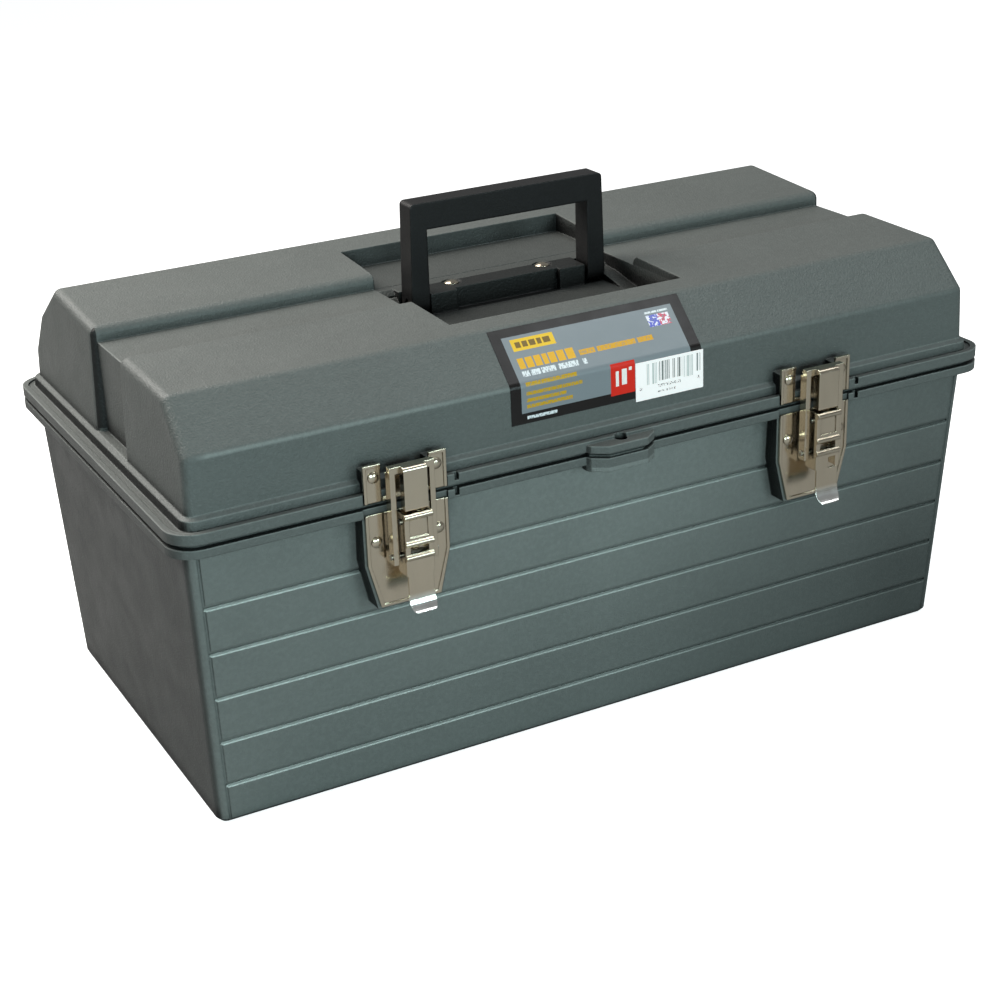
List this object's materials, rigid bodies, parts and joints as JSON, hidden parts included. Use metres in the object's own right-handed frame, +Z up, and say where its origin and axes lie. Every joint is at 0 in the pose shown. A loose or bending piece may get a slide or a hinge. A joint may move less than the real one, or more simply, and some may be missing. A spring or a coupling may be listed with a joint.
{
  "type": "toolbox with tray",
  "caption": "Moulded toolbox with a hinged ridged lid, fold-down handle in a recess, draw latches with over-centre levers, and a lift-out compartment tray with its own grip.",
  "frame": {"origin": "on the floor under the middle of the base", "axes": "+X along the length to the right seen from the front, -Y to the front with the latches, +Z up"},
  "size_m": [0.4826, 0.2861, 0.2737],
  "materials": {
    "body_plastic": "pebble-grained moulded plastic, dark grey-green",
    "handle_plastic": "smooth satin black plastic",
    "tray_plastic": "fine-grained moulded plastic, near black",
    "nickel_plate": "bright nickel plate on pressed sheet",
    "pin_steel": "plain drawn steel",
    "label_print": "printed, semi-gloss",
    "sticker_print": "printed white sticker"
  },
  "bodies": {
    "base": {"base_shell": "body_plastic", "hinge_pins": "pin_steel", "left_latch_plate": "nickel_plate", "left_plate_rivets": "nickel_plate", "left_lever_pin": "pin_steel", "right_latch_plate": "nickel_plate", "right_plate_rivets": "nickel_plate", "right_lever_pin": "pin_steel"},
    "lid": {"lid_shell": "body_plastic", "handle_strap": "pin_steel", "handle_rivets": "nickel_plate", "label_sheet": "label_print", "barcode_sticker": "sticker_print", "left_strike_plate": "nickel_plate", "left_strike_rivets": "nickel_plate", "right_strike_plate": "nickel_plate", "right_strike_rivets": "nickel_plate"},
    "handle": {"handle": "handle_plastic", "handle_pivot_pins": "pin_steel"},
    "tray": {"tray": "tray_plastic"},
    "left_lever": {"left_lever": "nickel_plate", "left_hook_pin": "pin_steel"},
    "left_hook": {"left_hook": "nickel_plate"},
    "right_lever": {"right_lever": "nickel_plate", "right_hook_pin": "pin_steel"},
    "right_hook": {"right_hook": "nickel_plate"}
  },
  "joints": [
    {"name": "lid_hinge", "type": "hinge", "parent": "base", "child": "lid", "pos_m": [0, 0.1345, 0.16185], "axis": [-1, 0, 0], "range_deg": [0, 105]},
    {"name": "handle_fold", "type": "hinge", "parent": "lid", "child": "handle", "pos_m": [0, -0.0119, 0.2185], "axis": [1, 0, 0], "range_deg": [0, 90]},
    {"name": "tray_lift", "type": "slide", "parent": "base", "child": "tray", "axis": [0, 0, 1], "range_m": [0, 0.024]},
    {"name": "left_lever_turn", "type": "hinge", "parent": "base", "child": "left_lever", "pos_m": [-0.1222, -0.1381, 0.1545], "axis": [-1, 0, 0], "range_deg": [0, 110]},
    {"name": "left_hook_turn", "type": "hinge", "parent": "left_lever", "child": "left_hook", "pos_m": [-0.1222, -0.1361, 0.136], "axis": [-1, 0, 0], "range_deg": [-110, 0]},
    {"name": "right_lever_turn", "type": "hinge", "parent": "base", "child": "right_lever", "pos_m": [0.1222, -0.1381, 0.1545], "axis": [-1, 0, 0], "range_deg": [0, 110]},
    {"name": "right_hook_turn", "type": "hinge", "parent": "right_lever", "child": "right_hook", "pos_m": [0.1222, -0.1361, 0.136], "axis": [-1, 0, 0], "range_deg": [-110, 0]}
  ],
  "couplings": [
    {"joint": "left_hook_turn", "follows": "left_lever_turn", "ratio": -1},
    {"joint": "right_hook_turn", "follows": "right_lever_turn", "ratio": -1}
  ]
}
